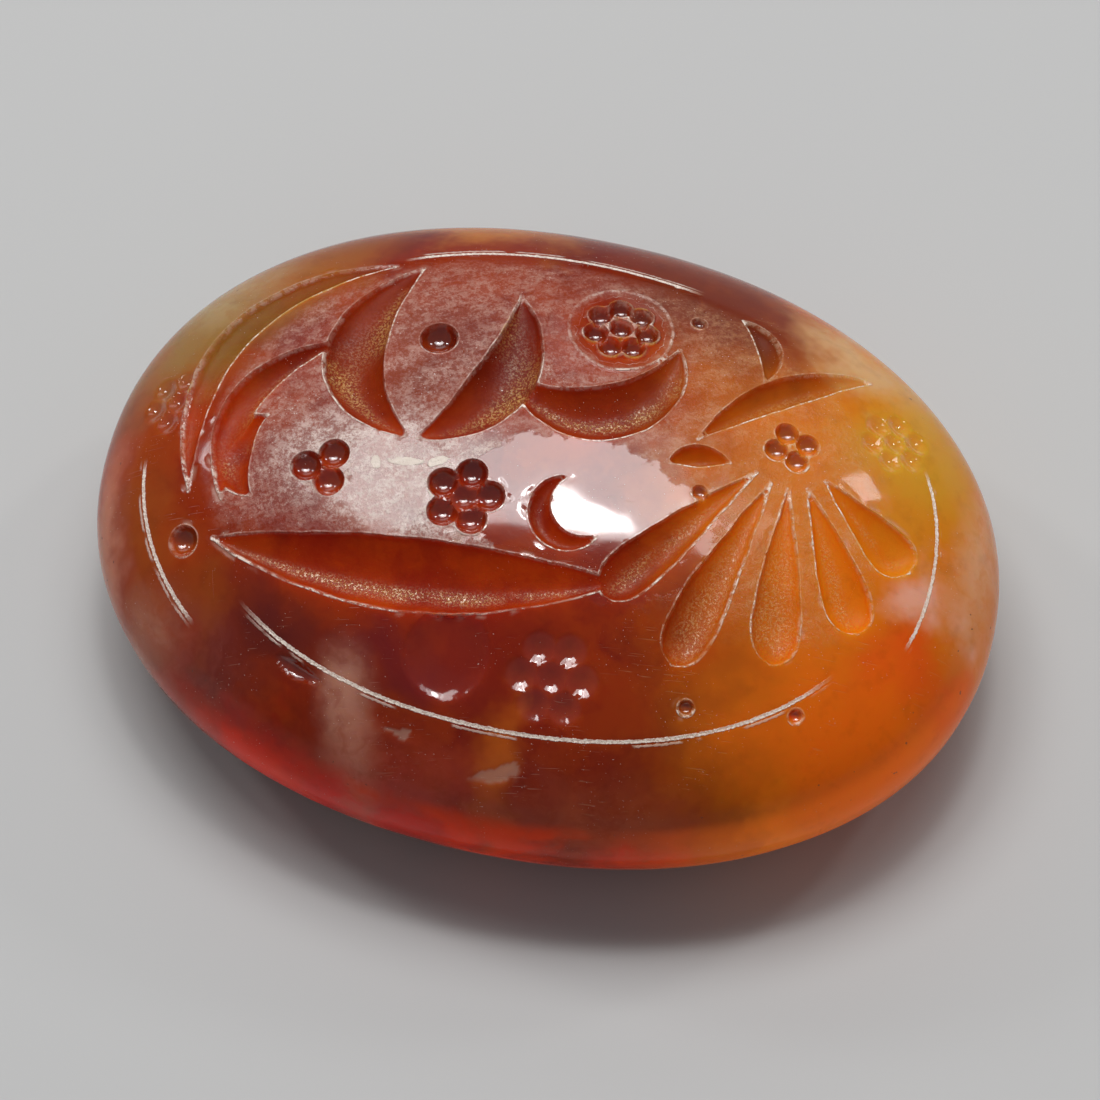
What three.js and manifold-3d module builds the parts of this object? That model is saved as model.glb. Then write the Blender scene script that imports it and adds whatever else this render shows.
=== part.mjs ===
// Oval intaglio: one domed chalcedony cabochon, with a wheel-cut and ball-drilled design sunk into its face.
// Millimetres. +Z is up, the flat of the back rests on z = 0, and the long axis lies along X.

import * as THREE from "three";
import { mergeVertices } from "three/addons/utils/BufferGeometryUtils.js";
import Module from "manifold-3d";

const wasm = await Module();
wasm.setup();

// The ground and polished stone
const stoneLength = 22;
const stoneWidth = 16;
const stoneHeight = 7.5;
const girdleHeight = 3; // from the back up to the widest line
const flatShare = 0.62; // the flat of the back, as a share of the outline

// The curves of the outline and of the crown. An exponent of 2 is a plain ellipse
const outlineExponent = 2.14;
const crownExponent = 2.2;
const lobeCount = 3; // the hand-ground outline swells a little this many times
const lobeSwellShare = 0.004; // of the outline's radius
const lobeTurn = 0.86; // radians

// Ball drills, by radius
const broadDrill = 0.47;
const mediumDrill = 0.4;
const smallDrill = 0.31;
const fineDrill = 0.2;
const drillSinkShare = 0.82; // how far a ball sinks, of its radius
const pelletPitchShare = 0.88; // of the pitch at which the balls of a ring would just touch

// Cutting wheels, by the full width and depth of what each one leaves
const broadTroughWidth = 1.75;
const broadTroughDepth = 0.52;
const lyreTroughWidth = 1.5;
const lyreTroughDepth = 0.5;
const petalTroughWidth = 1.6;
const petalTroughDepth = 0.5;
const leafTroughWidth = 0.85;
const leafTroughDepth = 0.38;
const budTroughWidth = 0.6;
const budTroughDepth = 0.34;
const nickTroughWidth = 0.34;
const nickTroughDepth = 0.14;
const borderLineWidth = 0.15;
const borderLineDepth = 0.08;

// Shallow hollows rubbed with the end of a tool: one bare, and one that holds a rosette
const dimpleRadius = 1.05;
const dimpleDepth = 0.24;
const dishRadius = 1.25;
const dishDepth = 0.16;

// Where the fan's petals start, from the middle of its pellets
const fanRootRadius = 1.15;

// Cutters reach this far out of the stone
const cutterOverrun = 0.6;

// How a cut swells along its length. An exponent below 1 fills a shape out
const lensExponent = 0.8;
const dropExponent = 0.85;
const dropEndExponent = 7; // a higher one makes the round end blunter
const lineTipShare = 0.08; // of a line's length, narrowing at each end
const pointShare = 0.05; // of the width and depth, left at a pointed end

// Facets
const outlineSpokes = 60;
const crownRings = 10;
const backRings = 5;
const troughFacets = 5;
const lineFacets = 2;
const drillSpokes = 9;
const drillRings = 6;
const hollowRings = 3;
const hollowSpokes = 16;
const leafSteps = 8;
const petalSteps = 8;
const crescentSteps = 10;
const borderDegreesPerStep = 8;

const halfLength = stoneLength / 2;
const halfWidth = stoneWidth / 2;
const crownRise = stoneHeight - girdleHeight;
const probe = stoneWidth / 2000; // between the points that give a slope

// The design. Places are shares of the half length and of the half width

const rosettes = [
  { placeShare: [-0.84, 0.08], petals: 6, drill: smallDrill, turn: 0.3 },
  { placeShare: [-0.16, -0.14], petals: 5, drill: mediumDrill, turn: 0.2 },
  { placeShare: [0.08, 0.53], petals: 7, drill: smallDrill, seatDepth: dishDepth / 2 },
  { placeShare: [0.71, 0.4], petals: 6, drill: smallDrill, turn: 0.5 },
  { placeShare: [0.11, -0.61], petals: 6, drill: mediumDrill, turn: 0.1 },
  { placeShare: [-0.475, -0.115], petals: 3, drill: mediumDrill, turn: 1.1, heart: false },
  { placeShare: [0.5, 0.26], petals: 4, drill: smallDrill, turn: 0.5, heart: false },
];

const pellets = [
  { placeShare: [-0.3, 0.37], drill: broadDrill },
  { placeShare: [-0.745, -0.37], drill: mediumDrill },
  { placeShare: [0.33, 0.03], drill: fineDrill },
  { placeShare: [0.24, 0.62], drill: fineDrill },
  { placeShare: [0.4, -0.6], drill: fineDrill },
  { placeShare: [0.63, -0.53], drill: fineDrill },
];

const hollows = [
  { placeShare: [-0.12, -0.6], radius: dimpleRadius, depth: dimpleDepth },
  { placeShare: [0.08, 0.53], radius: dishRadius, depth: dishDepth },
];

const broadTrough = { width: broadTroughWidth, depth: broadTroughDepth };
const lyreTrough = { width: lyreTroughWidth, depth: lyreTroughDepth };
const petalTrough = { width: petalTroughWidth, depth: petalTroughDepth };
const leafTrough = { width: leafTroughWidth, depth: leafTroughDepth };
const budTrough = { width: budTroughWidth, depth: budTroughDepth };
const nickTrough = { width: nickTroughWidth, depth: nickTroughDepth };
const borderLine = { width: borderLineWidth, depth: borderLineDepth };

// Leaves, each from its foot, past its bow, to its tip
const leaves = [
  { lineShares: [[-0.68, -0.36], [-0.24, -0.47], [0.21, -0.3]], trough: broadTrough },
  { lineShares: [[-0.76, -0.22], [-0.9, 0.42], [-0.44, 0.64]], trough: leafTrough },
  { lineShares: [[-0.68, -0.24], [-0.78, 0.14], [-0.5, 0.32]], trough: leafTrough },
  { lineShares: [[-0.31, 0.02], [-0.6, 0.2], [-0.38, 0.64]], trough: lyreTrough },
  { lineShares: [[-0.29, 0.02], [-0.06, 0.2], [-0.15, 0.58]], trough: lyreTrough },
  { lineShares: [[0.3, 0.2], [0.44, 0.48], [0.63, 0.6]], trough: leafTrough },
  { lineShares: [[0.33, 0.68], [0.43, 0.62], [0.41, 0.46]], trough: budTrough },
  { lineShares: [[0.25, 0.1], [0.3, 0.17], [0.38, 0.15]], trough: budTrough },
  { lineShares: [[-0.49, -0.67], [-0.44, -0.71], [-0.37, -0.73]], trough: nickTrough },
];

// Crescents, by the radius of the wheel's path as a share of the half width
const crescents = [
  { placeShare: [0.02, 0.47], radiusShare: 0.27, fromDegrees: 226, toDegrees: 366, trough: lyreTrough },
  { placeShare: [0.08, -0.11], radiusShare: 0.105, fromDegrees: 112, toDegrees: 320, trough: budTrough },
  { placeShare: [-0.57, -0.09], radiusShare: 0.15, fromDegrees: 120, toDegrees: 245, trough: leafTrough },
];

// A fan of petals that spreads from four pellets. Each reaches a share of the half width
const fanPlaceShare = [0.5, 0.26];
const fan = [
  { degrees: -126, reachShare: 0.75 },
  { degrees: -105, reachShare: 0.78 },
  { degrees: -83, reachShare: 0.68 },
  { degrees: -59, reachShare: 0.59 },
  { degrees: -33, reachShare: 0.49 },
];

// Lines that run round inside the outline, at a share of its size
const borders = [
  { outlineShare: 0.775, fromDegrees: 222, toDegrees: 332 },
  { outlineShare: 0.775, fromDegrees: 122, toDegrees: 74 },
  { outlineShare: 0.85, fromDegrees: 345, toDegrees: 383 },
  { outlineShare: 0.885, fromDegrees: 186, toDegrees: 221 },
];

// The stone's surface

const lobe = (angle) => 1 + lobeSwellShare * Math.cos(lobeCount * angle + lobeTurn);

const signedPower = (value, power) => Math.sign(value) * Math.abs(value) ** power;

// A point of the oval, drawn to a share of its full size
function ovalPoint(angle, share) {
  const power = 2 / outlineExponent;
  const radius = lobe(angle) * share;
  return new THREE.Vector2(
    halfLength * radius * signedPower(Math.cos(angle), power),
    halfWidth * radius * signedPower(Math.sin(angle), power),
  );
}

// How far out a plan position lies: 0 at the centre and 1 on the girdle
function outlineShareAt(x, y) {
  const across = signedPower(x / halfLength, outlineExponent / 2);
  const up = signedPower(y / halfWidth, outlineExponent / 2);
  return Math.hypot(across, up) ** (2 / outlineExponent) / lobe(Math.atan2(up, across));
}

const crownHeight = (share) =>
  girdleHeight + crownRise * Math.sqrt(Math.max(0, 1 - share ** crownExponent));

const onCrown = (x, y) => new THREE.Vector3(x, y, crownHeight(outlineShareAt(x, y)));

function crownNormal(x, y) {
  const alongX = onCrown(x + probe, y).sub(onCrown(x - probe, y));
  const alongY = onCrown(x, y + probe).sub(onCrown(x, y - probe));
  return alongX.cross(alongY).normalize();
}

const planPoint = ([lengthShare, widthShare]) =>
  new THREE.Vector2(lengthShare * halfLength, widthShare * halfWidth);

// Solids

function solidFrom(geometry) {
  const bare = geometry.clone();
  bare.deleteAttribute("normal");
  bare.deleteAttribute("uv");
  const merged = mergeVertices(bare);
  return new wasm.Manifold(
    new wasm.Mesh({
      numProp: 3,
      vertProperties: merged.attributes.position.array,
      triVerts: new Uint32Array(merged.index.array),
    }),
  );
}

// A closed skin over rings of points, which turn anticlockwise seen from the last ring's side
function loft(rings) {
  const count = rings[0].length;
  const points = rings.flat();
  const lastStart = points.length - count;
  const faces = [];
  for (let start = 0; start < lastStart; start += count) {
    for (let k = 0; k < count; k++) {
      const [a, b] = [start + k, start + ((k + 1) % count)];
      faces.push(a, b, b + count, a, b + count, a + count);
    }
  }
  for (const start of [0, lastStart]) {
    const middle = points.length;
    const ring = points.slice(start, start + count);
    points.push(ring.reduce((sum, point) => sum.add(point), new THREE.Vector3()).divideScalar(count));
    for (let k = 0; k < count; k++) {
      const [a, b] = [start + k, start + ((k + 1) % count)];
      faces.push(...(start === lastStart ? [middle, a, b] : [middle, b, a]));
    }
  }
  const geometry = new THREE.BufferGeometry().setFromPoints(points);
  geometry.setIndex(faces);
  return solidFrom(geometry);
}

// The blank: a lathed profile, with its radius as a share of the outline, drawn out to the oval
function stoneBlank() {
  const profile = [new THREE.Vector2(0, 0)];
  for (let k = 0; k < backRings; k++) {
    const turn = (Math.PI / 2) * (k / backRings);
    const share = flatShare + (1 - flatShare) * Math.sin(turn);
    profile.push(new THREE.Vector2(share, girdleHeight * (1 - Math.cos(turn))));
  }
  for (let k = 0; k < crownRings; k++) {
    const share = Math.cos((Math.PI / 2) * (k / crownRings));
    profile.push(new THREE.Vector2(share, crownHeight(share)));
  }
  profile.push(new THREE.Vector2(0, stoneHeight));
  const lathe = new THREE.LatheGeometry(profile, outlineSpokes).rotateX(Math.PI / 2);
  const { position } = lathe.attributes;
  for (let k = 0; k < position.count; k++) {
    const [x, y] = [position.getX(k), position.getY(k)];
    const point = ovalPoint(Math.atan2(y, x), Math.hypot(x, y));
    position.setXY(k, point.x, point.y);
  }
  return solidFrom(lathe);
}

// Ball-drill cuts

// A ball sunk along the crown's normal, with its pole on the normal so that its rings lie level.
// In a hollow it sits deeper
function pellet(place, radius, seatDepth = 0) {
  const normal = crownNormal(place.x, place.y);
  const ball = new THREE.SphereGeometry(radius, drillSpokes, drillRings);
  ball.applyQuaternion(new THREE.Quaternion().setFromUnitVectors(new THREE.Vector3(0, 1, 0), normal));
  const above = radius * (1 - drillSinkShare) - seatDepth;
  const middle = onCrown(place.x, place.y).addScaledVector(normal, above);
  ball.translate(middle.x, middle.y, middle.z);
  return solidFrom(ball);
}

// Balls set round a ring, with one at its heart unless told otherwise
function rosette({ placeShare, petals, drill, turn = 0, heart = true, seatDepth = 0 }) {
  const middle = planPoint(placeShare);
  const ringRadius = (drill * pelletPitchShare) / Math.sin(Math.PI / petals);
  const balls = heart ? [pellet(middle, drill, seatDepth)] : [];
  for (let k = 0; k < petals; k++) {
    const angle = turn + (2 * Math.PI * k) / petals;
    const offset = new THREE.Vector2(Math.cos(angle), Math.sin(angle)).multiplyScalar(ringRadius);
    balls.push(pellet(middle.clone().add(offset), drill, seatDepth));
  }
  return balls;
}

// The cap of a large ball that only grazes the crown, carried up out of the stone
function hollowCut({ placeShare, radius, depth }) {
  const place = planPoint(placeShare);
  const base = onCrown(place.x, place.y);
  const normal = crownNormal(place.x, place.y);
  const [side, ahead] = sideAndAhead(normal, new THREE.Vector3(1, 0, 0));
  const ringOf = (reach, above) =>
    Array.from({ length: hollowSpokes }, (_, k) => {
      const angle = (2 * Math.PI * k) / hollowSpokes;
      return base
        .clone()
        .addScaledVector(normal, above)
        .addScaledVector(ahead, reach * Math.cos(angle))
        .addScaledVector(side, reach * Math.sin(angle));
    });
  const ballRadius = (radius ** 2 + depth ** 2) / (2 * depth);
  const sweep = Math.asin(radius / ballRadius);
  const rings = [];
  for (let k = 1; k <= hollowRings; k++) {
    const turn = (sweep * k) / hollowRings;
    rings.push(ringOf(ballRadius * Math.sin(turn), ballRadius * (1 - Math.cos(turn)) - depth));
  }
  rings.push(ringOf(radius, cutterOverrun));
  return loft(rings);
}

// Wheel cuts

// Two directions in the crown's tangent plane: to the left of the way ahead, and ahead
function sideAndAhead(normal, way) {
  const side = normal.clone().cross(way).normalize();
  return [side, side.clone().cross(normal)];
}

// Each shape says how a cut swells, and where its steps fall, from 0 at its start to 1 at its end
const lens = {
  swell: (t) => Math.max(0, Math.sin(Math.PI * t)) ** lensExponent,
  stepAt: (share) => share,
};
const drop = {
  swell: (t) => t ** dropExponent * Math.sqrt(Math.max(0, 1 - t ** dropEndExponent)),
  stepAt: (share) => Math.sin((Math.PI / 2) * share),
};
const evenLine = {
  swell: (t) => Math.min(1, t / lineTipShare, (1 - t) / lineTipShare),
  stepAt: (share) => share,
};

// A trough along a plan curve, with its walls carried up out of the stone
function wheelCut(curve, { width, depth }, shape, steps, facets = troughFacets) {
  const rings = [];
  for (let step = 0; step <= steps; step++) {
    const t = shape.stepAt(step / steps);
    const swell = Math.max(pointShare, shape.swell(t));
    const place = curve.getPoint(t);
    const way = curve.getTangent(t);
    const base = onCrown(place.x, place.y);
    const normal = crownNormal(place.x, place.y);
    const [side] = sideAndAhead(normal, new THREE.Vector3(way.x, way.y, 0));
    const sectionPoint = (across, above) =>
      base.clone().addScaledVector(side, across).addScaledVector(normal, above);
    const reach = (width / 2) * swell;
    const ring = [sectionPoint(reach, cutterOverrun), sectionPoint(-reach, cutterOverrun)];
    for (let k = 0; k <= facets; k++) {
      const angle = (Math.PI * k) / facets;
      const below = depth * swell * Math.sin(angle);
      ring.push(sectionPoint(-reach * Math.cos(angle), -below));
    }
    rings.push(ring);
  }
  return loft(rings);
}

function leafCut({ lineShares, trough }) {
  const curve = new THREE.QuadraticBezierCurve(...lineShares.map(planPoint));
  return wheelCut(curve, trough, lens, leafSteps);
}

function crescentCut({ placeShare, radiusShare, fromDegrees, toDegrees, trough }) {
  const middle = planPoint(placeShare);
  const radius = radiusShare * halfWidth;
  const [from, to] = [fromDegrees, toDegrees].map(THREE.MathUtils.degToRad);
  const curve = new THREE.EllipseCurve(middle.x, middle.y, radius, radius, from, to);
  return wheelCut(curve, trough, lens, crescentSteps);
}

function petalCut({ degrees, reachShare }) {
  const middle = planPoint(fanPlaceShare);
  const turn = THREE.MathUtils.degToRad(degrees);
  const way = new THREE.Vector2(Math.cos(turn), Math.sin(turn));
  const root = middle.clone().addScaledVector(way, fanRootRadius);
  const end = middle.clone().addScaledVector(way, reachShare * halfWidth);
  return wheelCut(new THREE.LineCurve(root, end), petalTrough, drop, petalSteps);
}

class OutlineCurve extends THREE.Curve {
  constructor(outlineShare, fromDegrees, toDegrees) {
    super();
    this.outlineShare = outlineShare;
    this.from = THREE.MathUtils.degToRad(fromDegrees);
    this.to = THREE.MathUtils.degToRad(toDegrees);
  }
  getPoint(t) {
    return ovalPoint(THREE.MathUtils.lerp(this.from, this.to, t), this.outlineShare);
  }
}

function borderCut({ outlineShare, fromDegrees, toDegrees }) {
  const curve = new OutlineCurve(outlineShare, fromDegrees, toDegrees);
  const steps = Math.ceil(Math.abs(toDegrees - fromDegrees) / borderDegreesPerStep);
  return wheelCut(curve, borderLine, evenLine, steps, lineFacets);
}

// The engraved stone

function engravedStone() {
  const cuts = [
    ...leaves.map(leafCut),
    ...crescents.map(crescentCut),
    ...fan.map(petalCut),
    ...borders.map(borderCut),
    ...rosettes.flatMap(rosette),
    ...pellets.map(({ placeShare, drill }) => pellet(planPoint(placeShare), drill)),
    ...hollows.map(hollowCut),
  ];
  const carved = cuts.reduce((stone, cut) => stone.subtract(cut), stoneBlank());
  const { vertProperties, triVerts } = carved.getMesh();
  const geometry = new THREE.BufferGeometry();
  geometry.setAttribute("position", new THREE.BufferAttribute(vertProperties, 3));
  geometry.setIndex(new THREE.BufferAttribute(triVerts, 1));
  const faceted = geometry.toNonIndexed();
  faceted.computeVertexNormals();
  return faceted;
}

const carnelian = new THREE.MeshStandardMaterial({ color: 0x9c3a14, roughness: 0.22, metalness: 0 });

const stone = new THREE.Mesh(engravedStone(), carnelian);
stone.name = "engraved_stone";

const intaglio = new THREE.Group();
intaglio.add(stone);

export default intaglio;
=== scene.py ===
import math
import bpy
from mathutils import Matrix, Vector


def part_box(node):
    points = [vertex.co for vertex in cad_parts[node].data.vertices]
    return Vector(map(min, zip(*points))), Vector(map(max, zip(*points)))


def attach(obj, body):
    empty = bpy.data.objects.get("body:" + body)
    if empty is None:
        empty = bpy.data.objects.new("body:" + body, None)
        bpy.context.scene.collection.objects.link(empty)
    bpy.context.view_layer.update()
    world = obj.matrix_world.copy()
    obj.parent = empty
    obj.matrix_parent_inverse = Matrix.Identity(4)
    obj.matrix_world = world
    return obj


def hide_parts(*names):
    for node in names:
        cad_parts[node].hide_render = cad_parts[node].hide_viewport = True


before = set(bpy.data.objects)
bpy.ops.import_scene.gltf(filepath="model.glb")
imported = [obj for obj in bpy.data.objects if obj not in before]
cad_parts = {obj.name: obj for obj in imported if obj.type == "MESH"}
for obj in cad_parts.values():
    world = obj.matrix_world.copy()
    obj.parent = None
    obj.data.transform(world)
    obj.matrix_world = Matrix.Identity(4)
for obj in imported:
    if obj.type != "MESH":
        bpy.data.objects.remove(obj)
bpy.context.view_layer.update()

from types import SimpleNamespace

import bpy
import numpy as np
from mathutils import Vector

mm = 0.001
lowCorner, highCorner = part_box("engraved_stone")
halfLength = (highCorner.x - lowCorner.x) / 2 / mm
halfWidth = (highCorner.y - lowCorner.y) / 2 / mm
stoneHeight = (highCorner.z - lowCorner.z) / mm
print("frame loaded, stone", round(2 * halfLength, 2), round(2 * halfWidth, 2), round(stoneHeight, 2), "mm")


# The blank: an oval dome over a rounded flank and a flat back. Lengths here are millimetres

stone = {
    "girdleShare": 0.4,       # height of the widest line, of the whole height
    "flatShare": 0.62,        # the flat of the back, of the outline
    "outlineExponent": 2.14,  # 2 is a plain ellipse
    "crownExponent": 2.2,
    "lobeCount": 3,           # the ground outline swells a little this many times
    "lobeSwell": 0.004,
    "lobeTurn": 0.86,
    "ripple": [(0.011, 1.7, 11), (0.005, 0.7, 12)],  # hand polishing: depth, spacing, seed
    "rippleFade": 8,          # the outline share to this power takes it off towards the edge
    "cellsLong": 336,         # of the face's grid
    "cellsWide": 250,
    "arcSteps": 2000,
    "flankRings": 8,
    "flatRings": 3,
    "engravedShare": 0.92,
    "edgeCrowding": 0.6,      # how sparse the cells are outside the engraving
    "snapReaches": (0.55, 0.4),  # how far vertices move to a rim, in cells, in two passes
    "leastSlope": 0.25,
    "sharpAngle": 36,
}
girdle = stone["girdleShare"] * stoneHeight
crownRise = stoneHeight - girdle


def signedPower(value, power):  # the sign of the value times its size to the power
    return np.sign(value) * np.abs(value) ** power


def lobe(angle):  # one plus a small cosine of three times the angle
    return 1 + stone["lobeSwell"] * np.cos(stone["lobeCount"] * angle + stone["lobeTurn"])


def ovalPlace(angle, share):  # cosine and sine to the power 2/n, times half sizes, share and lobe
    power = 2 / stone["outlineExponent"]
    radius = share * lobe(angle)
    return (halfLength * radius * signedPower(np.cos(angle), power),
            halfWidth * radius * signedPower(np.sin(angle), power))


def outlineShareAt(x, y):  # the n-norm of the plan place over the half sizes, over the lobe
    across = signedPower(x / halfLength, stone["outlineExponent"] / 2)
    up = signedPower(y / halfWidth, stone["outlineExponent"] / 2)
    return np.hypot(across, up) ** (2 / stone["outlineExponent"]) / lobe(np.arctan2(up, across))


def crownHeight(share):  # the girdle plus the rise times the root of 1 less the share to the exponent
    return girdle + crownRise * np.sqrt(np.clip(1 - share ** stone["crownExponent"], 0, None))


def crownNormal(x, y, step=0.004):  # from the slopes between neighbours a few microns away
    def height(atX, atY):
        return crownHeight(outlineShareAt(atX, atY))
    slopeX = (height(x + step, y) - height(x - step, y)) / (2 * step)
    slopeY = (height(x, y + step) - height(x, y - step)) / (2 * step)
    length = np.sqrt(slopeX ** 2 + slopeY ** 2 + 1)
    return np.stack([-slopeX / length, -slopeY / length, 1 / length], -1)


def smoothStep(value, low, high):  # 3t2 - 2t3 of the value's share of the way from low to high
    t = np.clip((value - low) / (high - low), 0, 1)
    return t * t * (3 - 2 * t)


def valueNoise(x, y, spacing, seed, count=64):
    # Random values from -1 to 1 on a square lattice, blended between its points by smooth steps
    lattice = np.random.default_rng(seed).uniform(-1, 1, (count, count))
    column, row = np.floor(x / spacing).astype(int), np.floor(y / spacing).astype(int)
    across, up = smoothStep(x / spacing - column, 0, 1), smoothStep(y / spacing - row, 0, 1)
    left, right, low, high = column % count, (column + 1) % count, row % count, (row + 1) % count
    under = lattice[left, low] * (1 - across) + lattice[right, low] * across
    over = lattice[left, high] * (1 - across) + lattice[right, high] * across
    return under * (1 - up) + over * up


# The engraving: every cut gives a signed distance to its rim and a depth

drills = {"broad": 0.47, "medium": 0.4, "small": 0.31, "fine": 0.2, "sinkShare": 0.82, "pitchShare": 0.88}

wheels = {  # full width, depth, how much dust the cut holds and how far towards its lower wall
    "broad": (1.75, 0.52, 1, 0.5),
    "lyre": (1.5, 0.5, 1, 0.2),
    "petal": (1.6, 0.5, 0.9, 0.05),
    "leaf": (0.85, 0.38, 0.5, 0.2),
    "bud": (0.6, 0.34, 0.2, 0.2),
    "nick": (0.34, 0.14, 0, 0),
    "line": (0.15, 0.08, 0, 0),
}

cutShape = {
    "floorExponent": 0.5,      # of one less the square of the place across: a half is an ellipse
    "lean": 0.35,              # how much deeper the lower wall of a trough is
    "lensExponent": 0.8,
    "dropExponent": 0.85,
    "dropEndExponent": 7,
    "lineTipShare": 0.08,
    "pointShare": 0.02,
    "dustSpread": 0.18,
    "steps": 56,
    "wobbles": [(0.016, 0.3, 1), (0.022, 0.95, 2)],  # uneven rims: size, spacing, seed
    "pelletWobbleShare": 0.3,
    "lowerSide": (-0.4, 0.5),  # the downward part of the way to a rim, from an upper rim to a lower one
    "far": 9.0,                # the signed distance where no rim is near
    "margin": 0.9,             # how far beyond a cut its signed distance is worked out
}

rubbed = {  # pits that wear has left without a rim: reach and depth are shares of the ball's radius
    "reach": 1.2,
    "depth": 0.42,
    "exponent": 1.5,
}

chips = {  # beside the rims: noises as spacing and seed, with the range that counts from none to full
    "depth": 0.03,
    "reach": 0.15,
    "rimGap": 0.004,
    "grain": (0.24, 5),
    "grainRange": (0.25, 0.6),
    "patches": (1.6, 6),
    "patchRange": (-0.2, 0.5),
}

rosettes = [  # place, petals, drill, turn, heart, worn, how much deeper it sits
    ((-0.84, 0.08), 6, "small", 0.3, True, True, 0),
    ((-0.16, -0.14), 5, "medium", 0.2, True, False, 0),
    ((0.08, 0.53), 7, "small", 0, True, False, 0.08),
    ((0.71, 0.4), 6, "small", 0.5, True, True, 0),
    ((0.11, -0.61), 6, "medium", 0.1, True, True, 0),
    ((-0.475, -0.115), 3, "medium", 1.1, False, False, 0),
    ((0.5, 0.26), 4, "small", 0.5, False, False, 0),
]

pellets = [
    ((-0.3, 0.37), "broad"),
    ((-0.745, -0.37), "medium"),
    ((0.33, 0.03), "fine"),
    ((0.24, 0.62), "fine"),
    ((0.4, -0.6), "fine"),
    ((0.63, -0.53), "fine"),
]

leaves = [  # foot, bow, tip, wheel
    ((-0.68, -0.36), (-0.24, -0.47), (0.21, -0.3), "broad"),
    ((-0.76, -0.22), (-0.9, 0.42), (-0.44, 0.64), "leaf"),
    ((-0.68, -0.24), (-0.78, 0.14), (-0.5, 0.32), "leaf"),
    ((-0.31, 0.02), (-0.6, 0.2), (-0.38, 0.64), "lyre"),
    ((-0.29, 0.02), (-0.06, 0.2), (-0.15, 0.58), "lyre"),
    ((0.3, 0.2), (0.44, 0.48), (0.63, 0.6), "leaf"),
    ((0.33, 0.68), (0.43, 0.62), (0.41, 0.46), "bud"),
    ((0.25, 0.1), (0.3, 0.17), (0.38, 0.15), "bud"),
    ((-0.49, -0.67), (-0.44, -0.71), (-0.37, -0.73), "nick"),
]

crescents = [  # place, radius as a share of the half width, from and to in degrees, wheel
    ((0.02, 0.47), 0.27, 226, 366, "lyre"),
    ((0.08, -0.11), 0.105, 112, 320, "bud"),
    ((-0.57, -0.09), 0.15, 120, 245, "leaf"),
]

fan = {
    "place": (0.5, 0.26),
    "rootRadius": 1.15,
    "petals": [(-126, 0.75), (-105, 0.78), (-83, 0.68), (-59, 0.59), (-33, 0.49)],  # way in degrees, reach
}

borders = [  # outline share, from and to in degrees
    (0.775, 222, 332),
    (0.775, 122, 74),
    (0.85, 345, 383),
    (0.885, 186, 221),
]

hollows = [  # place, radius, depth, exponent of the bowl, and whether its edge is crisp
    ((-0.12, -0.6), 1.05, 0.24, 4, False),
    ((0.08, 0.53), 1.25, 0.16, 2, True),
]
hollowGloss = 0.4

flakes = [  # middle, half length and half width, turn in degrees
    ((0.4, -7.0), (0.5, 0.19), 6),
    ((-2.1, -6.6), (0.26, 0.11), -20),
]

flakeShape = {
    "sides": [(-1, 0, 0.8), (0, 1, 0.75), (0.9, -1.1, 0.95)],  # share of along, of across, and the rest
    "ragged": 0.25,
    "raggedNoise": (0.22, 21),  # spacing, seed
    "softness": 0.15,
}


def planPlace(share):  # shares of the half length and the half width made millimetres
    return np.array([share[0] * halfLength, share[1] * halfWidth])


def lensSwell(t):  # a half sine to a power below one
    return np.sin(np.pi * np.clip(t, 0, 1)) ** cutShape["lensExponent"]


def dropSwell(t):  # a power of the way along, closed by a round end
    return t ** cutShape["dropExponent"] * np.sqrt(np.clip(1 - t ** cutShape["dropEndExponent"], 0, None))


def lineSwell(t):  # full, but for a short taper at each end
    return np.clip(np.minimum(t, 1 - t) / cutShape["lineTipShare"], 0, 1)


def wheelPaths():  # each path's points, with the swell at each and the wheel that cuts it
    t = np.linspace(0, 1, cutShape["steps"] + 1)
    paths = []
    for foot, bow, tip, wheel in leaves:
        a, b, c = planPlace(foot), planPlace(bow), planPlace(tip)
        points = np.outer((1 - t) ** 2, a) + np.outer(2 * t * (1 - t), b) + np.outer(t ** 2, c)
        paths.append((points, lensSwell(t), wheel))
    for place, radiusShare, start, end, wheel in crescents:
        angle = np.radians(start + (end - start) * t)
        ring = radiusShare * halfWidth * np.stack([np.cos(angle), np.sin(angle)], -1)
        paths.append((planPlace(place) + ring, lensSwell(t), wheel))
    for degrees, reachShare in fan["petals"]:
        way = np.array([math.cos(math.radians(degrees)), math.sin(math.radians(degrees))])
        root, end = fan["rootRadius"], reachShare * halfWidth
        along = np.sin(t * np.pi / 2)
        points = planPlace(fan["place"]) + np.outer(root + (end - root) * along, way)
        paths.append((points, dropSwell(along), "petal"))
    for share, start, end in borders:
        angle = np.radians(start + (end - start) * t)
        paths.append((np.stack(ovalPlace(angle, share), -1), lineSwell(t), "line"))
    return paths


def pelletPlaces():  # the plan place, radius, wear and extra depth of every ball-drill cut
    places = [(planPlace(place), drills[drill], False, 0) for place, drill in pellets]
    for place, petals, drill, turn, heart, worn, seat in rosettes:
        middle, radius = planPlace(place), drills[drill]
        ring = radius * drills["pitchShare"] / math.sin(math.pi / petals)
        if heart:
            places.append((middle, radius, worn, seat))
        for k in range(petals):
            angle = turn + 2 * math.pi * k / petals
            places.append((middle + ring * np.array([math.cos(angle), math.sin(angle)]), radius, worn, seat))
    return places


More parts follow.
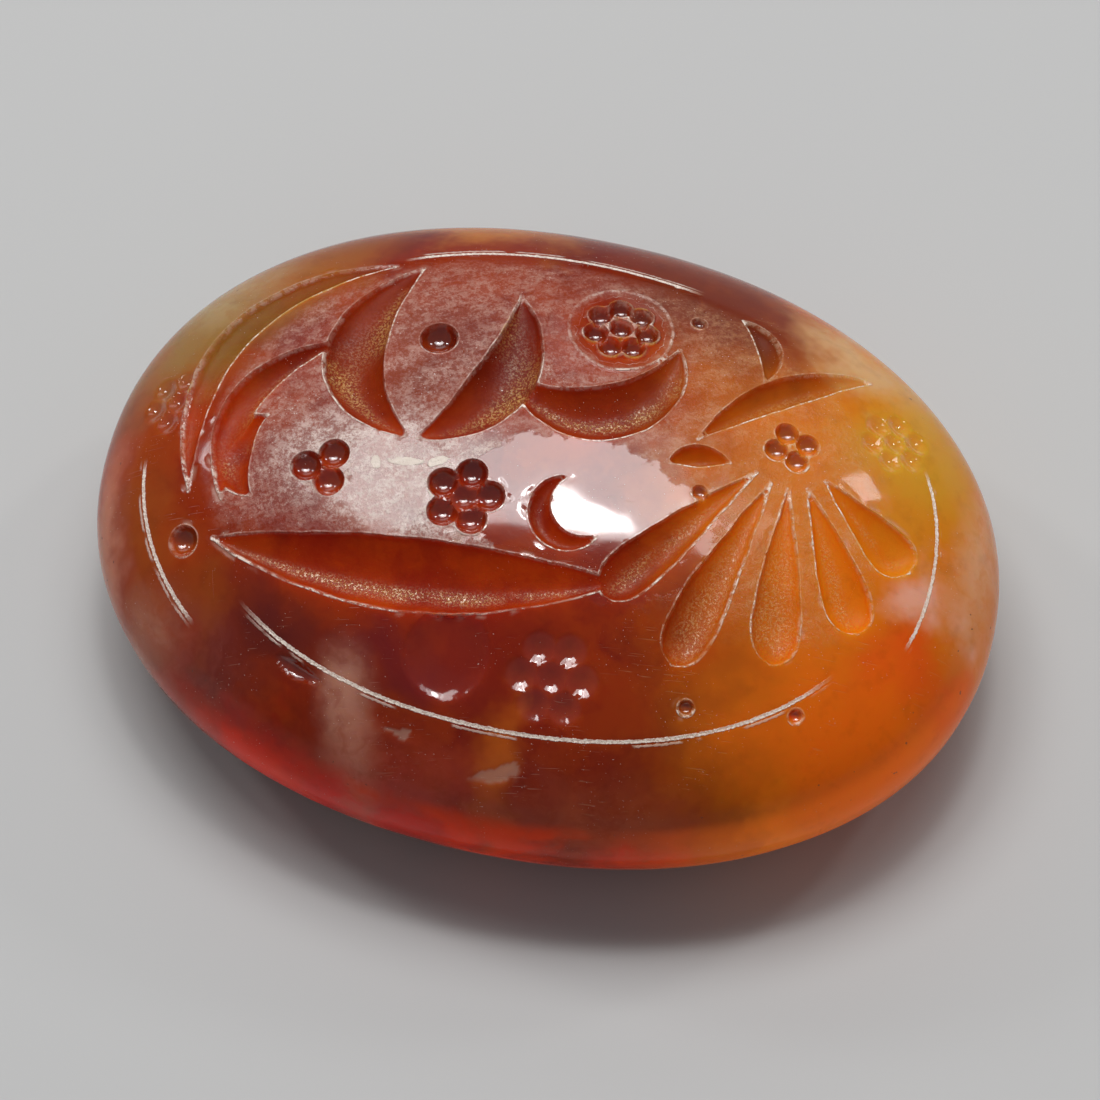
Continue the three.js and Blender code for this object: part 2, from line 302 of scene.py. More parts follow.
def nearPath(x, y, points, swell):
    # The least distance to the path's segments, the swell there, and how far the place lies below the path
    start, step = points[:-1], points[1:] - points[:-1]
    lengthSquared = np.maximum((step ** 2).sum(-1), 1e-12)
    fromX, fromY = x[:, None] - start[:, 0], y[:, None] - start[:, 1]
    share = np.clip((fromX * step[:, 0] + fromY * step[:, 1]) / lengthSquared, 0, 1)
    gap = np.hypot(fromX - share * step[:, 0], fromY - share * step[:, 1])
    rows, nearest = np.arange(len(x)), gap.argmin(1)
    t, gap = share[rows, nearest], gap[rows, nearest]
    down = -(fromY[rows, nearest] - t * step[nearest, 1]) / np.maximum(gap, 1e-6)
    return gap, swell[nearest] * (1 - t) + swell[nearest + 1] * t, down


allPaths = wheelPaths()
allPellets = pelletPlaces()


def carve(x, y):
    # For each plan place: signed distance to the nearest rim and whether that is a lower one, the
    # deepest cut's depth, dust, gloss and wear, then signed distance to a border line and its strength
    far, margin = cutShape["far"], cutShape["margin"]
    rim, lower, offset = np.full(x.shape, far), np.zeros(x.shape), np.full(x.shape, far)
    depth, dust, gloss, soft, line = (np.zeros(x.shape) for _ in range(5))

    def deepen(where, distance, down, below, dusty, glossy, softened=0):
        lowerSide = smoothStep(down, *cutShape["lowerSide"])
        lower[where] = np.where(distance < rim[where], lowerSide, lower[where])
        rim[where] = np.minimum(rim[where], distance)
        deeper = below > depth[where]
        dust[where] = np.where(deeper, dusty, dust[where])
        gloss[where] = np.where(deeper, glossy, gloss[where])
        soft[where] = np.where(deeper, softened, soft[where])
        depth[where] = np.maximum(depth[where], below)

    wobble = sum(size * valueNoise(x, y, spacing, seed) for size, spacing, seed in cutShape["wobbles"])
    for points, swell, wheel in allPaths:
        width, full, dustiness, dustPlace = wheels[wheel]
        low, high = points.min(0) - width / 2 - margin, points.max(0) + width / 2 + margin
        where = np.flatnonzero((x > low[0]) & (x < high[0]) & (y > low[1]) & (y < high[1]))
        gap, swollen, down = nearPath(x[where], y[where], points, swell)
        if wheel == "line":
            beyond = outlineShareAt(x[where], y[where]) - outlineShareAt(*points[:1].T)
            line[where] = np.where(gap < np.abs(offset[where]), swollen, line[where])
            offset[where] = np.where(gap < np.abs(offset[where]), gap * np.sign(beyond), offset[where])
            continue
        swollen = np.maximum(swollen, cutShape["pointShare"])
        half = width / 2 * swollen + wobble[where] * min(width, 1)
        half = np.maximum(half, width * cutShape["pointShare"])
        across = np.clip(gap / half, 0, 1)
        section = (1 - across ** 2) ** cutShape["floorExponent"]
        below = full * swollen * section * (1 + cutShape["lean"] * across * down)
        band = np.exp(-((across * down - dustPlace) / cutShape["dustSpread"]) ** 2)
        worn = float(wheel == "nick")  # a rubbed cut has no rim left
        deepen(where, far if worn else gap - half, down, below, band * dustiness * swollen, worn, worn)
    for middle, radius, worn, seat in allPellets:
        reach = radius + margin
        where = np.flatnonzero((np.abs(x - middle[0]) < reach) & (np.abs(y - middle[1]) < reach))
        normal = crownNormal(middle[:1], middle[1:])[0]
        dx, dy = x[where] - middle[0], y[where] - middle[1]
        lift = -(normal[0] * dx + normal[1] * dy) / normal[2]  # the tangent plane's height
        gap = np.sqrt(dx ** 2 + dy ** 2 + lift ** 2) - wobble[where] * cutShape["pelletWobbleShare"]
        if worn:
            bowl = np.clip(1 - (gap / (rubbed["reach"] * radius)) ** 2, 0, None)
            deepen(where, far, 0, rubbed["depth"] * radius * bowl ** rubbed["exponent"], 0, 1, 1)
        else:
            above = radius * (1 - drills["sinkShare"]) - seat
            below = np.sqrt(np.clip(radius ** 2 - gap ** 2, 0, None)) - above
            rimGap = gap - math.sqrt(radius ** 2 - (above + seat) ** 2)
            deepen(where, rimGap, -dy / np.maximum(gap, 0.01), np.clip(below, 0, None), 0, 1)
    for place, radius, full, exponent, crisp in hollows:
        middle = planPlace(place)
        gap = np.hypot(x - middle[0], y - middle[1]) - wobble
        bowl = np.clip(1 - np.abs(gap / radius) ** exponent, 0, None)
        deepen(np.arange(len(x)), far, 0, full * bowl, 0, hollowGloss, 1)
        if crisp:  # what lies in the hollow keeps its own rims
            near = np.abs(gap - radius) < np.abs(rim)
            rim[near] = (gap - radius)[near]
            lower[near] = smoothStep((middle[1] - y) / radius, *cutShape["lowerSide"])[near]
    return rim, lower, depth, dust, gloss, soft, offset, line


def chipMask(x, y, rim):  # fine noise times patchy noise, in a strip beside the rims
    fine = smoothStep(valueNoise(x, y, *chips["grain"]), *chips["grainRange"])
    patchy = smoothStep(valueNoise(x, y, *chips["patches"]), *chips["patchRange"])
    return fine * patchy * (rim > chips["rimGap"]) * smoothStep(rim, chips["reach"], chips["reach"] / 2)


def flakeMask(x, y):  # the least distance to three straight sides, in each flake's own frame, made ragged
    mask = np.zeros(x.shape)
    for (middleX, middleY), (halfLong, halfWide), turn in flakes:
        cosine, sine = math.cos(math.radians(turn)), math.sin(math.radians(turn))
        along = ((x - middleX) * cosine + (y - middleY) * sine) / halfLong
        across = ((y - middleY) * cosine - (x - middleX) * sine) / halfWide
        sides = [a * along + b * across + rest for a, b, rest in flakeShape["sides"]]
        ragged = flakeShape["ragged"] * valueNoise(x, y, *flakeShape["raggedNoise"])
        mask = np.maximum(mask, smoothStep(np.minimum.reduce(sides) + ragged, 0, flakeShape["softness"]))
    return mask


def faceGrid():
    # A square grid drawn to a disc, x sqrt(1 - y2/2) and y sqrt(1 - x2/2), with its radius spread
    # evenly along the crown's arc
    across = np.linspace(-1, 1, stone["cellsLong"] + 1)
    up = np.linspace(-1, 1, stone["cellsWide"] + 1)
    s, t = np.meshgrid(across, up, indexing="ij")
    p, q = s * np.sqrt(1 - t ** 2 / 2), t * np.sqrt(1 - s ** 2 / 2)
    table = np.sin(np.linspace(0, np.pi / 2, stone["arcSteps"]))
    arc = np.hypot(np.diff(table) * (halfLength + halfWidth) / 2, np.diff(crownHeight(table)))
    arc *= np.where(table[1:] < stone["engravedShare"], 1, stone["edgeCrowding"])
    along = np.concatenate([[0], np.cumsum(arc)])
    share = np.interp(np.hypot(p, q), along / along[-1], table)
    angle = np.arctan2(q, p)
    x, y = ovalPlace(angle, share)
    return x, y, angle


def snapToRims(x, y, step=0.01):
    # Moves the vertices nearest a rim onto it, along the slope of the signed distance
    cell = 2 * halfLength / stone["cellsLong"]
    for reach in stone["snapReaches"]:
        rim = carve(x, y)[0]
        slopeX = (carve(x + step, y)[0] - carve(x - step, y)[0]) / (2 * step)
        slopeY = (carve(x, y + step)[0] - carve(x, y - step)[0]) / (2 * step)
        size = np.maximum(slopeX ** 2 + slopeY ** 2, stone["leastSlope"])
        near = np.abs(rim) < reach * cell
        x = np.where(near, x - rim * slopeX / size, x)
        y = np.where(near, y - rim * slopeY / size, y)
    return x, y


def engravedFace():
    # The crown's points sunk along its normals by the cuts, the chips and the ripple of the polish, but
    # for the edge. With them go the angles, and the fields that the material reads with their values
    # off the face
    gridX, gridY, angle = faceGrid()
    edge = np.zeros(gridX.shape, bool)
    edge[0], edge[-1], edge[:, 0], edge[:, -1] = True, True, True, True
    edge, gridX, gridY = edge.ravel(), gridX.ravel(), gridY.ravel()
    x, y = snapToRims(gridX, gridY)
    x, y = np.where(edge, gridX, x), np.where(edge, gridY, y)
    rim, lower, depth, dust, gloss, soft, offset, line = carve(x, y)
    depth = np.where(edge | (np.abs(rim) < chips["rimGap"]), 0, depth)
    outline = outlineShareAt(x, y)
    chip = np.maximum(chipMask(x, y, rim), flakeMask(x, y))
    ripple = sum(size * valueNoise(x, y, spacing, seed) for size, spacing, seed in stone["ripple"])
    ripple = (ripple + stone["ripple"][0][0]) * (1 - outline ** stone["rippleFade"])
    sunk = depth + chips["depth"] * chip + ripple
    points = np.stack([x, y, crownHeight(outline)], -1)
    points = points - crownNormal(x, y) * np.where(edge, 0, sunk)[:, None]
    points[edge, 2] = girdle
    fields = {"rim": (rim, cutShape["far"]), "lower": (lower, 0), "depth": (depth, 0), "dust": (dust, 0),
              "gloss": (gloss, 0), "soft": (soft, 0), "outline": (outline, 1), "chip": (chip, 0),
              "offset": (offset, cutShape["far"]), "line": (line, 0)}
    return points, angle, fields


def faceTriangles(index, rim):  # the grid's quads, each split along the diagonal that follows the rims best
    a, b = index[:-1, :-1].ravel(), index[1:, :-1].ravel()
    c, d = index[1:, 1:].ravel(), index[:-1, 1:].ravel()
    alongRim = (np.abs(rim[a] - rim[c]) <= np.abs(rim[b] - rim[d]))[:, None]
    return [np.where(alongRim, np.stack([a, b, c], -1), np.stack([a, b, d], -1)),
            np.where(alongRim, np.stack([a, c, d], -1), np.stack([b, c, d], -1))]


def lowerRings():  # share and height: a quarter circle from the girdle to the flat, then even steps in
    rings = []
    for k in range(1, stone["flankRings"] + 1):
        turn = math.pi / 2 * k / stone["flankRings"]
        share = stone["flatShare"] + (1 - stone["flatShare"]) * math.cos(turn)
        rings.append((share, girdle * (1 - math.sin(turn))))
    for k in range(1, stone["flatRings"]):
        rings.append((stone["flatShare"] * (1 - k / stone["flatRings"]), 0.0))
    return rings


def closeBelow(before, loopAngle, count):
    # The oval at each lower ring's share, joined to the ring before it, and a fan to the middle of the back
    points, faces = [], []
    for share, height in lowerRings():
        ringX, ringY = ovalPlace(loopAngle, share)
        points.append(np.stack([ringX, ringY, np.full(len(before), height)], -1))
        ring = count + np.arange(len(before))
        count += len(before)
        nextBefore, nextRing = np.roll(before, -1), np.roll(ring, -1)
        faces += [np.stack([before, ring, nextRing], -1), np.stack([before, nextRing, nextBefore], -1)]
        before = ring
    points.append(np.zeros((1, 3)))
    faces.append(np.stack([before, np.full(len(before), count), np.roll(before, -1)], -1))
    return points, faces


def smoothMesh(name, points, faces):  # triangles in metres, all smooth
    mesh = bpy.data.meshes.new(name)
    mesh.vertices.add(len(points))
    mesh.vertices.foreach_set("co", (points * mm).astype(np.float32).ravel())
    mesh.loops.add(3 * len(faces))
    mesh.loops.foreach_set("vertex_index", faces.astype(np.int32).ravel())
    mesh.polygons.add(len(faces))
    mesh.polygons.foreach_set("loop_start", np.arange(0, 3 * len(faces), 3, dtype=np.int32))
    mesh.polygons.foreach_set("use_smooth", np.ones(len(faces), bool))
    mesh.update(calc_edges=True)
    mesh.validate()
    return mesh


def buildStone():  # the engraved face, closed by the flank and the back, with its fields on the points
    points, angle, fields = engravedFace()
    index = np.arange(len(points)).reshape(angle.shape)
    edgeLoop = np.concatenate([index[:-1, 0], index[-1, :-1], index[:0:-1, -1], index[0, :0:-1]])
    lowerPoints, lowerFaces = closeBelow(edgeLoop, angle.ravel()[edgeLoop], len(points))
    allPoints = np.concatenate([points] + lowerPoints)
    faces = np.concatenate(faceTriangles(index, fields["rim"][0]) + lowerFaces)
    mesh = smoothMesh("engraved_gem", allPoints, faces)
    extra = len(allPoints) - len(points)
    for name, (values, elsewhere) in fields.items():
        layer = mesh.attributes.new(name, "FLOAT", "POINT")
        allValues = np.concatenate([values, np.full(extra, elsewhere)])
        layer.data.foreach_set("value", allValues.astype(np.float32))
    mesh.set_sharp_from_angle(angle=math.radians(stone["sharpAngle"]))
    gem = bpy.data.objects.new("engraved_gem", mesh)
    bpy.context.scene.collection.objects.link(gem)
    print("stone built with", len(allPoints), "vertices and", len(faces), "triangles")
    return gem


# Shader sums


class Wire:
    # Wraps a socket, so that sums on wires add Math nodes

    def __init__(self, tree, socket):
        self.tree, self.socket = tree, socket

    def node(self, kind, settings=None, inputs=None, output=0):
        made = self.tree.nodes.new(kind)
        for name, value in (settings or {}).items():
            setattr(made, name, value)
        for name, value in (inputs or {}).items():
            if isinstance(value, Wire):
                self.tree.links.new(value.socket, made.inputs[name])
            else:
                made.inputs[name].default_value = value
        return Wire(self.tree, made.outputs[output] if made.outputs else None)

    def maths(self, operation, a, b=0.0):
        return self.node("ShaderNodeMath", {"operation": operation}, {0: a, 1: b})

    def __add__(self, other):
        return self.maths("ADD", self, other)

    def __radd__(self, other):
        return self.maths("ADD", other, self)

    def __sub__(self, other):
        return self.maths("SUBTRACT", self, other)

    def __rsub__(self, other):
        return self.maths("SUBTRACT", other, self)

    def __mul__(self, other):
        return self.maths("MULTIPLY", self, other)

    def __rmul__(self, other):
        return self.maths("MULTIPLY", other, self)

    def __abs__(self):
        return self.maths("ABSOLUTE", self)

    def smooth(self, low, high):  # 0 at low, 1 at high, with soft ends
        return self.node("ShaderNodeMapRange", {"interpolation_type": "SMOOTHSTEP"},
                         {"Value": self, "From Min": low, "From Max": high})

    def scaled(self, factor):
        return self.node("ShaderNodeVectorMath", {"operation": "SCALE"}, {0: self, "Scale": factor})

    def plus(self, other):
        return self.node("ShaderNodeVectorMath", {"operation": "ADD"}, {0: self, 1: other})

    def part(self, axis):
        return self.node("ShaderNodeSeparateXYZ", None, {0: self}, "XYZ".index(axis))

    def attribute(self, name):
        return self.node("ShaderNodeAttribute", {"attribute_name": name}, None, "Fac")

    def noise(self, scale, detail=2.0, roughness=0.5, output="Fac"):
        return self.node("ShaderNodeTexNoise", None,
                         {"Vector": self, "Scale": scale, "Detail": detail, "Roughness": roughness}, output)

    def placed(self, middle, size, turn=0.0):  # the place seen from a turned and sized frame of its own
        rotation = (0, 0, math.radians(turn))
        return self.node("ShaderNodeMapping", {"vector_type": "TEXTURE"},
                         {"Vector": self, "Location": middle, "Rotation": rotation, "Scale": size})

    def length(self):
        return self.node("ShaderNodeVectorMath", {"operation": "LENGTH"}, {0: self}, "Value")

    def mixed(self, other, mask, blend="MIX"):
        return self.node("ShaderNodeMix", {"data_type": "RGBA", "blend_type": blend},
                         {"Factor": mask, 6: self, 7: other}, 2)


def linear(red, green, blue):  # a colour read in 0 to 255 becomes the shader's linear one
    def one(value):
        value /= 255
        return value / 12.92 if value <= 0.04045 else ((value + 0.055) / 1.055) ** 2.4
    return (one(red), one(green), one(blue), 1.0)


def newTree(name):  # an empty material and the wire that starts its sums
    material = bpy.data.materials.new(name)
    material.use_nodes = True
    material.node_tree.nodes.clear()
    return material, Wire(material.node_tree, None)


def blend(tree, mask, first, second):  # the first colour where the mask is 0, the second where it is 1
    return tree.node("ShaderNodeMix", {"data_type": "RGBA"}, {"Factor": mask, 6: first, 7: second}, 2)


def atLeast(floor, mask):  # a mask from 0 to 1 squeezed into the range from floor to 1
    return floor + (1 - floor) * mask


carnelian = {  # colours, then the shader's own settings, lengths in metres
    "redBrown": linear(152, 50, 8),
    "deepRed": linear(124, 26, 12),
    "amber": linear(212, 116, 12),
    # frost on the worn crown, plain and golden, partly its own pale colour and partly a painted reflection of
    # the lamps; then a painted reflection, near white, where the left soft box shines on the worn crown
    "frostAndSheen": linear(198, 144, 122),
    "goldHaze": linear(212, 150, 72),
    "sheen": linear(246, 224, 214),
    "dust": linear(224, 172, 92),
    # a painted highlight: the glints along the rims, the border lines, the splinters and the tiny pits
    "glints": linear(255, 238, 222),
    "chip": linear(204, 170, 148),
    "subsurface": 0.7,
    "subsurfaceRadius": (1.0, 0.3, 0.1),
    "subsurfaceScale": 2.4 * mm,
    "specular": 0.08,
    "coatRoughness": 0.07,
    "coatIor": 1.8,
    "emberRed": (0.9, 0.05, 0.0, 1),
    "emberOrange": (0.9, 0.15, 0.005, 1),
    "emberStrength": 0.22,
    "ior": 1.54,
    "skinIor": 2.2,
    "skinRoughness": 0.24,
}

zones = [  # clouds in the stone: place, half size, turn in degrees, colour, strength
    ((-8.9, 3.3, 5), (1.9, 3.9, 9), -40, linear(146, 112, 58), 0.9),
    ((-6.8, 5.4, 5), (1.5, 2.4, 9), -55, linear(152, 84, 16), 0.85),
    # painted shade: darker over the lyre, whose cuts the lamps light more
    ((-3.4, 2.6, 6.5), (2.4, 2.4, 9), 0, linear(104, 30, 8), 0.55),
    ((-3.0, 7.2, 5), (2.6, 1.1, 9), 0, linear(220, 156, 64), 0.85),
    ((3.4, 5.6, 5), (3.2, 2.1, 9), -15, linear(96, 24, 32), 0.8),
    ((-5.2, -4.9, 5), (3.4, 1.6, 9), -20, linear(118, 40, 20), 0.8),
    ((-0.6, -4.6, 5), (2.6, 1.9, 9), 0, linear(126, 28, 12), 0.7),
    ((8.3, 3.4, 5), (1.8, 3.3, 9), 20, linear(200, 146, 40), 0.9),
    ((6.2, 5.3, 5), (1.9, 0.9, 9), -25, linear(204, 164, 116), 0.85),
    ((9.3, -0.6, 5), (1.1, 1.0, 9), 10, linear(230, 172, 150), 0.8),
    ((9.2, -2.4, 5), (1.5, 1.1, 9), 10, linear(212, 62, 20), 0.85),
    # painted glow: orange low on the right, for light come through the stone
    ((6.8, -6.4, 3.6), (0.9, 0.7, 2), 0, linear(240, 136, 20), 0.8),
    ((-9.2, -2.4, 5), (1.0, 2.8, 9), 8, linear(158, 78, 26), 0.7),
    ((-7.0, -5.7, 4.5), (1.5, 1.0, 4), -30, linear(104, 34, 28), 0.8),
    ((0.3, -6.9, 5), (0.8, 1.7, 9), 8, linear(206, 106, 24), 0.65),
    # painted glow: the bright red of the next two along the near lower rim stands for light come through the
    # stone
    ((-4.4, -7.9, 3.0), (6.2, 1.5, 2.0), -18, linear(246, 26, 2), 0.95),
    ((2.6, -8.5, 2.8), (5.0, 1.2, 1.6), 0, linear(242, 30, 2), 0.9),
    ((-0.4, -7.6, 4.2), (1.3, 0.6, 1.1), 0, linear(112, 20, 12), 0.4),
    # pale band along the left edge: a painted edge reflection
    ((-10.7, -3.0, 4), (0.8, 2.8, 9), 0, linear(206, 140, 112), 0.6),
    # painted glow: orange low on the right, for light come through the stone
    ((8.6, -4.4, 4), (3.2, 2.8, 9), 35, linear(240, 106, 10), 0.9),
    ((-5.5, -4.7, 5), (1.5, 0.8, 9), -25, linear(84, 26, 28), 0.6),
    ((-2.4, -5.0, 5), (1.7, 0.8, 9), -8, linear(98, 24, 36), 0.5),
    ((-7.6, -4.4, 5), (0.8, 0.8, 9), 0, linear(146, 76, 20), 0.5),
]

fogs = [  # softer clouds, deeper down: the same, but not dragged about
    ((-3.5, -6.0, 5), (0.75, 1.3, 9), 10, linear(204, 152, 130), 0.65),
    ((-3.0, -7.1, 5), (0.6, 1.2, 9), 24, linear(204, 148, 124), 0.6),
    ((-9.0, -5.2, 3.4), (1.2, 1.8, 2.4), -35, linear(214, 170, 146), 0.5),
    ((-1.4, -7.4, 4.0), (3.6, 1.3, 2.4), 0, linear(184, 78, 64), 0.6),
    ((2.8, -7.3, 4.0), (3.0, 1.3, 2.4), 0, linear(186, 92, 60), 0.6),
    ((-7.2, -5.4, 3.8), (2.4, 1.4, 2.4), -35, linear(160, 84, 70), 0.5),
    # pale band along the right edge: a painted edge reflection
    ((10.4, 1.2, 3.6), (0.8, 2.8, 3), 0, linear(228, 190, 160), 0.5),
    ((-8.7, 4.3, 5), (1.1, 1.6, 9), -40, linear(186, 172, 134), 0.5),
]

shards = [  # painted reflections of small splinters of the old polish beside the lyre's foot: middle, half size, turn
    ((-3.3, -0.5, 7), (0.34, 0.1, 9), 6),
    ((-2.55, -0.36, 7), (0.24, 0.11, 9), 30),
    ((-4.0, -0.62, 7), (0.1, 0.16, 9), 20),
]

wear = {  # patches as middle, half size and turn, noises as scale, detail and roughness
    "pitDepths": (0.004, 0.07),
    "plateauEdge": (0.86, 0.76),  # outline shares
    "wornEdge": (0.76, 0.7),
    "polishedPatch": ((1.3, -1.0, 7), (3.2, 1.9, 9), -8),
    "patchNoise": (1.3, 5, 0.65),
    "patchRagged": 0.9,
    "patchEdge": (1.5, 1.44),
    "upperNoise": (0.5, 4, 0.6),
    "upperSway": 2,
    "upperEdge": (-2.3, -0.7),
    "speckleNoise": (11, 4, 0.8),
    "sheenPatch": ((-2.9, -0.9, 7), (3.1, 1.5, 9), -6),
    "sheenEdge": (1.5, 0.65),
    "amberEnd": (0, 5),
    "farSide": (4.2, 7.2),
    "farSideEnd": (7, 3),
    "lowOutline": (0.84, 1.0),
    "lowLean": 0.3,
    "lowSide": (1.0, 8.0),
}


def surfaceMasks(tree):
    # Masks from 0 to 1, from the mesh's own fields and from ovals and straight borders made ragged by noise
    names = ("rim", "lower", "depth", "dust", "gloss", "soft", "outline", "chip", "offset", "line")
    mask = SimpleNamespace(**{name: tree.attribute(name) for name in names})
    place = tree.node("ShaderNodeTexCoord", None, None, "Object").scaled(1 / mm)
    mask.place, x, y = place, place.part("X"), place.part("Y")
    mask.pit = mask.depth.smooth(*wear["pitDepths"])
    mask.carved = mask.pit * (1 - mask.soft)
    mask.plateau = (1 - mask.pit) * mask.outline.smooth(*wear["plateauEdge"])
    # Still polished: a ragged patch on the crown. Above and right of it the crown is worn
    ragged = place.noise(*wear["patchNoise"]) * wear["patchRagged"]
    patch = place.placed(*wear["polishedPatch"]).length() + ragged
    mask.polished = patch.smooth(*wear["patchEdge"])
    upper = (y + place.noise(*wear["upperNoise"]) * wear["upperSway"]).smooth(*wear["upperEdge"])
    mask.worn = mask.plateau * (1 - mask.polished) * upper * mask.outline.smooth(*wear["wornEdge"])
    mask.speckle = place.noise(*wear["speckleNoise"])
    # the sheen: where the left soft box's reflection spreads over the worn crown, painted there in the skin's
    # colour as well as given by the coat
    mask.sheen = place.placed(*wear["sheenPatch"]).length().smooth(*wear["sheenEdge"]) * mask.worn
    mask.amberEnd = x.smooth(*wear["amberEnd"])
    # the far side, where tintCuts paints shade and the coat is thinner
    mask.far = y.smooth(*wear["farSide"]) * x.smooth(*wear["farSideEnd"])
    mask.low = mask.outline.smooth(*wear["lowOutline"]) * (x * wear["lowLean"] - y).smooth(*wear["lowSide"])
    return mask


clouds = {
    "warpNoise": (0.35, 4, 0.6),
    "warpReach": 4.0,
    "baseNoise": (0.32, 5, 0.6),
    "baseRange": (0.36, 0.66),
    "amberLean": 0.25,
    "amberRange": (1.2, 6.8),
    "zoneEdge": (1.35, 0.15),
    "fogWarpShare": 0.35,
    "fogNoise": (0.9, 4, 0.65),
    "fogRange": (0.36, 0.6),
    "fogFloor": 0.5,
    "fogEdge": (1.3, 0.0),
    "veinNoise": (1.8, 3, 0.6),
    "veinRange": (0.5, 0.75),
    "veinStrength": 0.25,
    "veinTint": (0.6, 0.5, 0.45, 1),
}


def cloudColour(tree, place):
    # Ovals with soft edges over a base of two browns and amber. A slow warp drags all through the
    # stone, and the fogs less
    warp = place.noise(*clouds["warpNoise"], "Color").plus((-0.5, -0.5, -0.5)).scaled(clouds["warpReach"])
    drifting, swaying = place.plus(warp), place.plus(warp.scaled(clouds["fogWarpShare"]))
    base = drifting.noise(*clouds["baseNoise"]).smooth(*clouds["baseRange"])
    colour = blend(tree, base, carnelian["redBrown"], carnelian["deepRed"])
    amber = (drifting.part("X") + drifting.part("Y") * clouds["amberLean"]).smooth(*clouds["amberRange"])
    colour = colour.mixed(carnelian["amber"], amber)
    for middle, size, turn, shade, strength in zones:
        oval = drifting.placed(middle, size, turn).length().smooth(*clouds["zoneEdge"])
        colour = colour.mixed(shade, oval * strength)
    thin = atLeast(clouds["fogFloor"], drifting.noise(*clouds["fogNoise"]).smooth(*clouds["fogRange"]))
    for middle, size, turn, shade, strength in fogs:
        oval = swaying.placed(middle, size, turn).length().smooth(*clouds["fogEdge"])
        colour = colour.mixed(shade, oval * thin * strength)
    veins = place.noise(*clouds["veinNoise"]).smooth(*clouds["veinRange"])
    return colour.mixed(clouds["veinTint"], veins * clouds["veinStrength"], "MULTIPLY"), drifting


cutTints = {  # what multiplies the stone's colour, and shares of it: painted shade on the upper cuts, the pits' tops and the far side, painted light on the rubbed pits
    "left": (1.45, 1.35, 0.6, 1),
    "leftGloss": 0.15,
    "right": (1.15, 1.05, 0.6, 1),
    "upper": (0.62, 0.55, 0.45, 1),
    "upperRange": (-0.5, 2.5),
    "upperAmber": 0.6,
    "pitTopShade": (0.4, 0.28, 0.25, 1),
    "pitTopShare": 0.7,
    "rubbed": (1.15, 1.1, 1.05, 1),
    "farSide": (0.6, 0.4, 0.3, 1),
}


def tintCuts(colour, mask):
    # Each tint multiplies the colour by as much as its mask says: the cuts left and right, painted shade on
    # the upper cuts, which the lamps light more, on the tops of the pits, away from the lamps, and on the far
    # side, and painted light that lightens the rubbed pits against the shade in them
    carved, gloss, amberEnd = mask.carved, mask.gloss, mask.amberEnd
    upper = mask.place.part("Y").smooth(*cutTints["upperRange"])
    layers = [
        ("left", carved * (1 - amberEnd) * (1 - gloss * cutTints["leftGloss"])),
        ("upper", carved * (1 - gloss) * upper * (1 - amberEnd * cutTints["upperAmber"])),
        ("right", carved * amberEnd),
        ("pitTopShade", carved * gloss * (1 - mask.lower) * cutTints["pitTopShare"]),
        ("rubbed", mask.pit * mask.soft),
        ("farSide", mask.far),
    ]
    for name, strength in layers:
        colour = colour.mixed(cutTints[name], strength, "MULTIPLY")
    return colour


glow = {  # light that has come through the stone and leaves it at the near lower edge
    "outline": (0.9, 0.985),
    "top": (3.4, 5.0),
    "span": (0.0, 0.8),
    "foot": (0.1, 2.1),
    "east": (1.5, 6.0),
    "eastStrength": 0.85,
    "noise": (0.42, 3, 0.6),
    "range": (0.38, 0.62),
    "tint": (0.5, 0.2, 0.05, 1),
}


def edgeGlow(mask, drifting):  # a band low on the near side: in patches to the left, even to the right
    z = mask.place.part("Z")
    band = (mask.outline.smooth(*glow["outline"]) - z.smooth(*glow["top"])).smooth(*glow["span"])
    band = band * mask.low * z.smooth(*glow["foot"])
    east = mask.place.part("X").smooth(*glow["east"])
    patches = drifting.noise(*glow["noise"]).smooth(*glow["range"])
    return band * (patches * (1 - east) + east * glow["eastStrength"]), east


